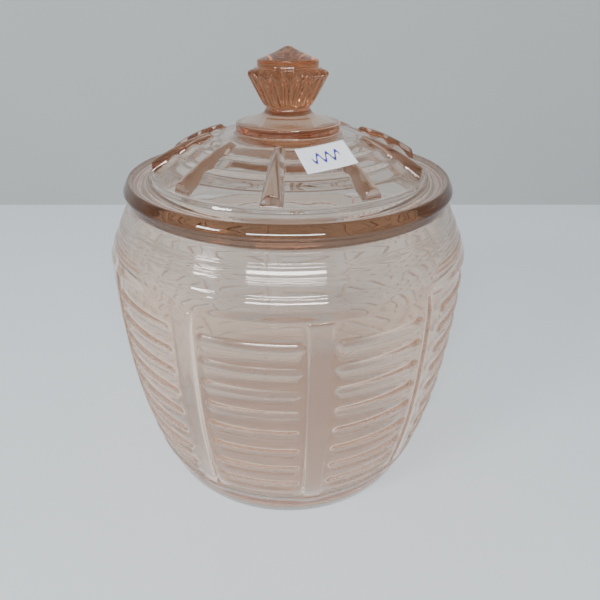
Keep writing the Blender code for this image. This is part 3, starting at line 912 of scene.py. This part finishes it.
def pen_stroke(tree, place):
    """1 on one wavy stroke across the middle of the sheet, and 0 beside it."""
    nodes = tree.nodes
    apart = nodes.new("ShaderNodeSeparateXYZ")
    link(tree, place.outputs["Object"], apart.inputs["Vector"])
    wave = nodes.new("ShaderNodeMath")
    wave.operation = "MULTIPLY"
    wave.inputs[1].default_value = WAVES_PER_METRE
    link(tree, apart.outputs["X"], wave.inputs[0])
    swing = nodes.new("ShaderNodeMath")
    swing.operation = "SINE"
    link(tree, wave.outputs[0], swing.inputs[0])
    reach = nodes.new("ShaderNodeMath")
    reach.operation = "MULTIPLY_ADD"
    reach.inputs[1].default_value = -STROKE_SWING
    link(tree, swing.outputs[0], reach.inputs[0])
    link(tree, apart.outputs["Y"], reach.inputs[2])
    off_line = nodes.new("ShaderNodeMath")
    off_line.operation = "ABSOLUTE"
    link(tree, reach.outputs[0], off_line.inputs[0])
    stroke = nodes.new("ShaderNodeMapRange")
    stroke.inputs["From Min"].default_value = STROKE_SOFT
    stroke.inputs["From Max"].default_value = STROKE_FULL
    link(tree, off_line.outputs[0], stroke.inputs["Value"])
    near = nodes.new("ShaderNodeMath")
    near.operation = "ABSOLUTE"
    link(tree, apart.outputs["X"], near.inputs[0])
    inside = nodes.new("ShaderNodeMath")
    inside.operation = "LESS_THAN"
    inside.inputs[1].default_value = STROKE_REACH
    link(tree, near.outputs[0], inside.inputs[0])
    ink = nodes.new("ShaderNodeMath")
    ink.operation = "MULTIPLY"
    link(tree, stroke.outputs["Result"], ink.inputs[0])
    link(tree, inside.outputs[0], ink.inputs[1])
    return ink.outputs[0]


print("the pen stroke is", 2 * STROKE_REACH / MM, "mm wide")

# %% The paper
FIBRE_SCALE = 1200.0
FIBRE_DEPTH = 0.02 * MM
PAPER_SHADE = (0.78, 0.82, 0.88, 1)
PAPER_WHITE = (0.90, 0.93, 0.97, 1)
PAPER_ROUGHNESS = 0.75
INK_BLUE = (0.03, 0.03, 0.30, 1)


def label_paper_material():
    """White paper with fibres, and one wavy stroke of blue ink."""
    material = bpy.data.materials.new("label_paper")
    material.use_nodes = True
    tree = material.node_tree
    nodes = tree.nodes
    surface = nodes["Principled BSDF"]
    place = nodes.new("ShaderNodeTexCoord")
    fibres = nodes.new("ShaderNodeTexNoise")
    fibres.inputs["Scale"].default_value = FIBRE_SCALE
    fibres.inputs["Detail"].default_value = 4.0
    link(tree, place.outputs["Object"], fibres.inputs["Vector"])
    paper = nodes.new("ShaderNodeValToRGB")
    paper.color_ramp.elements[0].color = PAPER_SHADE
    paper.color_ramp.elements[1].color = PAPER_WHITE
    link(tree, fibres.outputs["Fac"], paper.inputs["Fac"])
    colour = nodes.new("ShaderNodeMix")
    colour.data_type = "RGBA"
    colour.inputs["B"].default_value = INK_BLUE
    link(tree, pen_stroke(tree, place), colour.inputs["Factor"])
    link(tree, paper.outputs["Color"], colour.inputs["A"])
    link(tree, colour.outputs["Result"], surface.inputs["Base Color"])
    surface.inputs["Roughness"].default_value = PAPER_ROUGHNESS
    bump = nodes.new("ShaderNodeBump")
    bump.inputs["Distance"].default_value = FIBRE_DEPTH
    link(tree, fibres.outputs["Fac"], bump.inputs["Height"])
    link(tree, bump.outputs["Normal"], surface.inputs["Normal"])
    return material


label.data.materials.append(label_paper_material())
print("label paper", len(label.data.polygons), "faces")

# %% [markdown]
# ## Table, wall and light
# Glass shows its surroundings more than itself, so the room matters.  A pale table meets a grey wall close
# behind the jar, and both show through the shoulder.  A single round lamp would leave only dots of light on
# the glass.  Two long narrow lamps are used instead: the one in front draws the white lines along the rim
# and the shoulder, and a shorter one to its left adds the broken piece beside each line.

# %% Table and wall
WALL_DISTANCE = 352.0 * MM


def plain_surface(name, low, high, grain_scale, glow):
    """Matt paint or board with a slight mottle."""
    material = bpy.data.materials.new(name)
    material.use_nodes = True
    nodes = material.node_tree.nodes
    surface = nodes["Principled BSDF"]
    surface.inputs["Roughness"].default_value = 0.8
    place = nodes.new("ShaderNodeTexCoord")
    mottle = nodes.new("ShaderNodeTexNoise")
    mottle.inputs["Scale"].default_value = grain_scale
    mottle.inputs["Detail"].default_value = 3.0
    tone = nodes.new("ShaderNodeValToRGB")
    tone.color_ramp.elements[0].color = (*low, 1)
    tone.color_ramp.elements[1].color = (*high, 1)
    link(material.node_tree, place.outputs["Object"], mottle.inputs["Vector"])
    link(material.node_tree, mottle.outputs["Fac"], tone.inputs["Fac"])
    link(material.node_tree, tone.outputs["Color"], surface.inputs["Base Color"])
    link(material.node_tree, tone.outputs["Color"], surface.inputs["Emission Color"])
    surface.inputs["Emission Strength"].default_value = glow
    return material


def plane(name, corners, material):
    mesh = bpy.data.meshes.new(name)
    mesh.from_pydata(corners, [], [(0, 1, 2, 3)])
    mesh.materials.append(material)
    piece = bpy.data.objects.new(name, mesh)
    bpy.context.scene.collection.objects.link(piece)
    return piece


ROOM_HALF = 3.0
WALL_HEIGHT = 2.0
near_left, near_right = (-ROOM_HALF, -ROOM_HALF, 0), (ROOM_HALF, -ROOM_HALF, 0)
far_left, far_right = (-ROOM_HALF, WALL_DISTANCE, 0), (ROOM_HALF, WALL_DISTANCE, 0)
top_left, top_right = (-ROOM_HALF, WALL_DISTANCE, WALL_HEIGHT), (ROOM_HALF, WALL_DISTANCE, WALL_HEIGHT)
table_board = plain_surface("table_board", (0.67, 0.73, 0.77), (0.71, 0.77, 0.81), 12.0, 0.26)
wall_paint = plain_surface("wall_paint", (0.37, 0.395, 0.40), (0.40, 0.425, 0.43), 6.0, 0.09)
plane("table", [near_left, near_right, far_right, far_left], table_board)
plane("wall", [far_left, far_right, top_right, top_left], wall_paint)
print("wall at", WALL_DISTANCE / MM, "mm")

# %% Lamps
LAMP_TARGET = Vector((0, 0, 0.1))
ROOM_GREY = (0.80, 0.82, 0.84, 1)
ROOM_STRENGTH = 0.36


def area_lamp(name, place, width, depth, power):
    """Oblong lamp, sizes in metres and power in watts, turned to face the jar."""
    lamp = bpy.data.lights.new(name, "AREA")
    lamp.shape = "RECTANGLE"
    lamp.size, lamp.size_y = width, depth
    lamp.energy = power
    holder = bpy.data.objects.new(name, lamp)
    holder.location = place
    toward = LAMP_TARGET - Vector(place)
    holder.rotation_euler = toward.to_track_quat("-Z", "Y").to_euler()
    bpy.context.scene.collection.objects.link(holder)
    return holder


world = bpy.data.worlds.new("room")
world.use_nodes = True
world.node_tree.nodes["Background"].inputs["Color"].default_value = ROOM_GREY
world.node_tree.nodes["Background"].inputs["Strength"].default_value = ROOM_STRENGTH
bpy.context.scene.world = world
area_lamp("side", (-0.85, -0.62, 0.66), 0.3, 0.09, 4.5)
area_lamp("front", (-0.02, -0.9, 0.64), 0.85, 0.10, 13.5)
